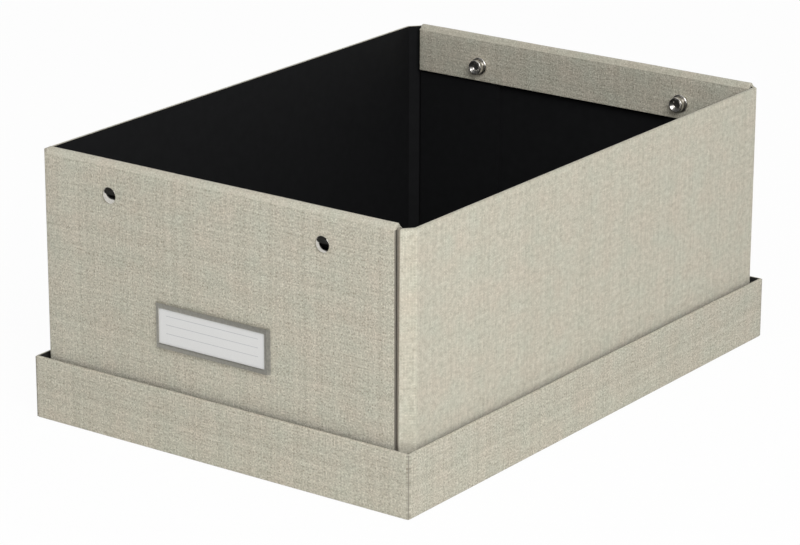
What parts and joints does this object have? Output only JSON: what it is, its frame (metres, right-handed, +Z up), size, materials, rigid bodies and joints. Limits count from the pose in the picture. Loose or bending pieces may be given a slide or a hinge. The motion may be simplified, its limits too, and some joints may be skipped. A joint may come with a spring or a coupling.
{
  "type": "storage box in its lid",
  "caption": "Rigid board storage box covered in woven linen with black lining, folded snap-down ends and a label holder, standing in its own upturned lid",
  "frame": {"origin": "centre of the lid's flat top where it lies on the table", "axes": "+X to the right along the front end with the label, +Y to the rear end, +Z up"},
  "size_m": [0.3098, 0.433, 0.1896],
  "materials": {
    "linen": "coarse slubby weave, matt",
    "board": "grey board, matt",
    "black_lining": "black paper, matt",
    "nickel": "nickel plated, polished",
    "holder_metal": "satin nickel",
    "card": "plain white card"
  },
  "bodies": {
    "lid": {"lid_top_linen": "linen", "lid_rim_linen": "linen", "lid_top_board": "board", "lid_front_rim_board": "board", "lid_rear_rim_board": "board", "lid_right_rim_board": "board", "lid_left_rim_board": "board", "lid_black_lining": "black_lining"},
    "box": {"base_cover": "linen", "right_side_linen": "linen", "left_side_linen": "linen", "front_end_linen": "linen", "rear_end_linen": "linen", "base_board": "board", "right_side_board": "board", "left_side_board": "board", "front_right_corner_strip": "board", "front_right_corner_flap": "board", "rear_right_corner_strip": "board", "rear_right_corner_flap": "board", "rear_left_corner_strip": "board", "rear_left_corner_flap": "board", "front_left_corner_strip": "board", "front_left_corner_flap": "board", "front_end_board": "board", "rear_end_board": "board", "base_lining": "black_lining", "right_side_lining": "black_lining", "left_side_lining": "black_lining", "front_end_lining": "black_lining", "rear_end_lining": "black_lining", "front_press_studs": "nickel", "rear_press_studs": "nickel", "label_holder": "holder_metal"},
    "front_cap": {"front_cap_board": "board", "front_cap_linen": "linen"},
    "front_flap": {"front_flap_board": "board", "front_flap_linen": "linen", "front_snap_sockets": "nickel", "front_snap_eyelets": "nickel"},
    "rear_cap": {"rear_cap_board": "board", "rear_cap_linen": "linen"},
    "rear_flap": {"rear_flap_board": "board", "rear_flap_linen": "linen", "rear_snap_sockets": "nickel", "rear_snap_eyelets": "nickel"},
    "card": {"label_card": "card"}
  },
  "joints": [
    {"name": "box_lift", "type": "slide", "parent": "lid", "child": "box", "axis": [0, 0, 1], "range_m": [0, 0.06]},
    {"name": "front_cap_fold", "type": "hinge", "parent": "box", "child": "front_cap", "pos_m": [0, -0.21095, 0.1856], "axis": [1, 0, 0], "range_deg": [0, 90]},
    {"name": "front_flap_fold", "type": "hinge", "parent": "front_cap", "child": "front_flap", "pos_m": [0, -0.20235, 0.1856], "axis": [1, 0, 0], "range_deg": [0, 90]},
    {"name": "rear_cap_fold", "type": "hinge", "parent": "box", "child": "rear_cap", "pos_m": [0, 0.21095, 0.1856], "axis": [-1, 0, 0], "range_deg": [0, 90]},
    {"name": "rear_flap_fold", "type": "hinge", "parent": "rear_cap", "child": "rear_flap", "pos_m": [0, 0.20235, 0.1856], "axis": [-1, 0, 0], "range_deg": [0, 90]},
    {"name": "card_slide", "type": "slide", "parent": "box", "child": "card", "axis": [0, 0, 1], "range_m": [0, 0.032]}
  ],
  "couplings": [
    {"joint": "front_cap_fold", "follows": "front_flap_fold", "ratio": 1},
    {"joint": "rear_cap_fold", "follows": "rear_flap_fold", "ratio": 1}
  ]
}
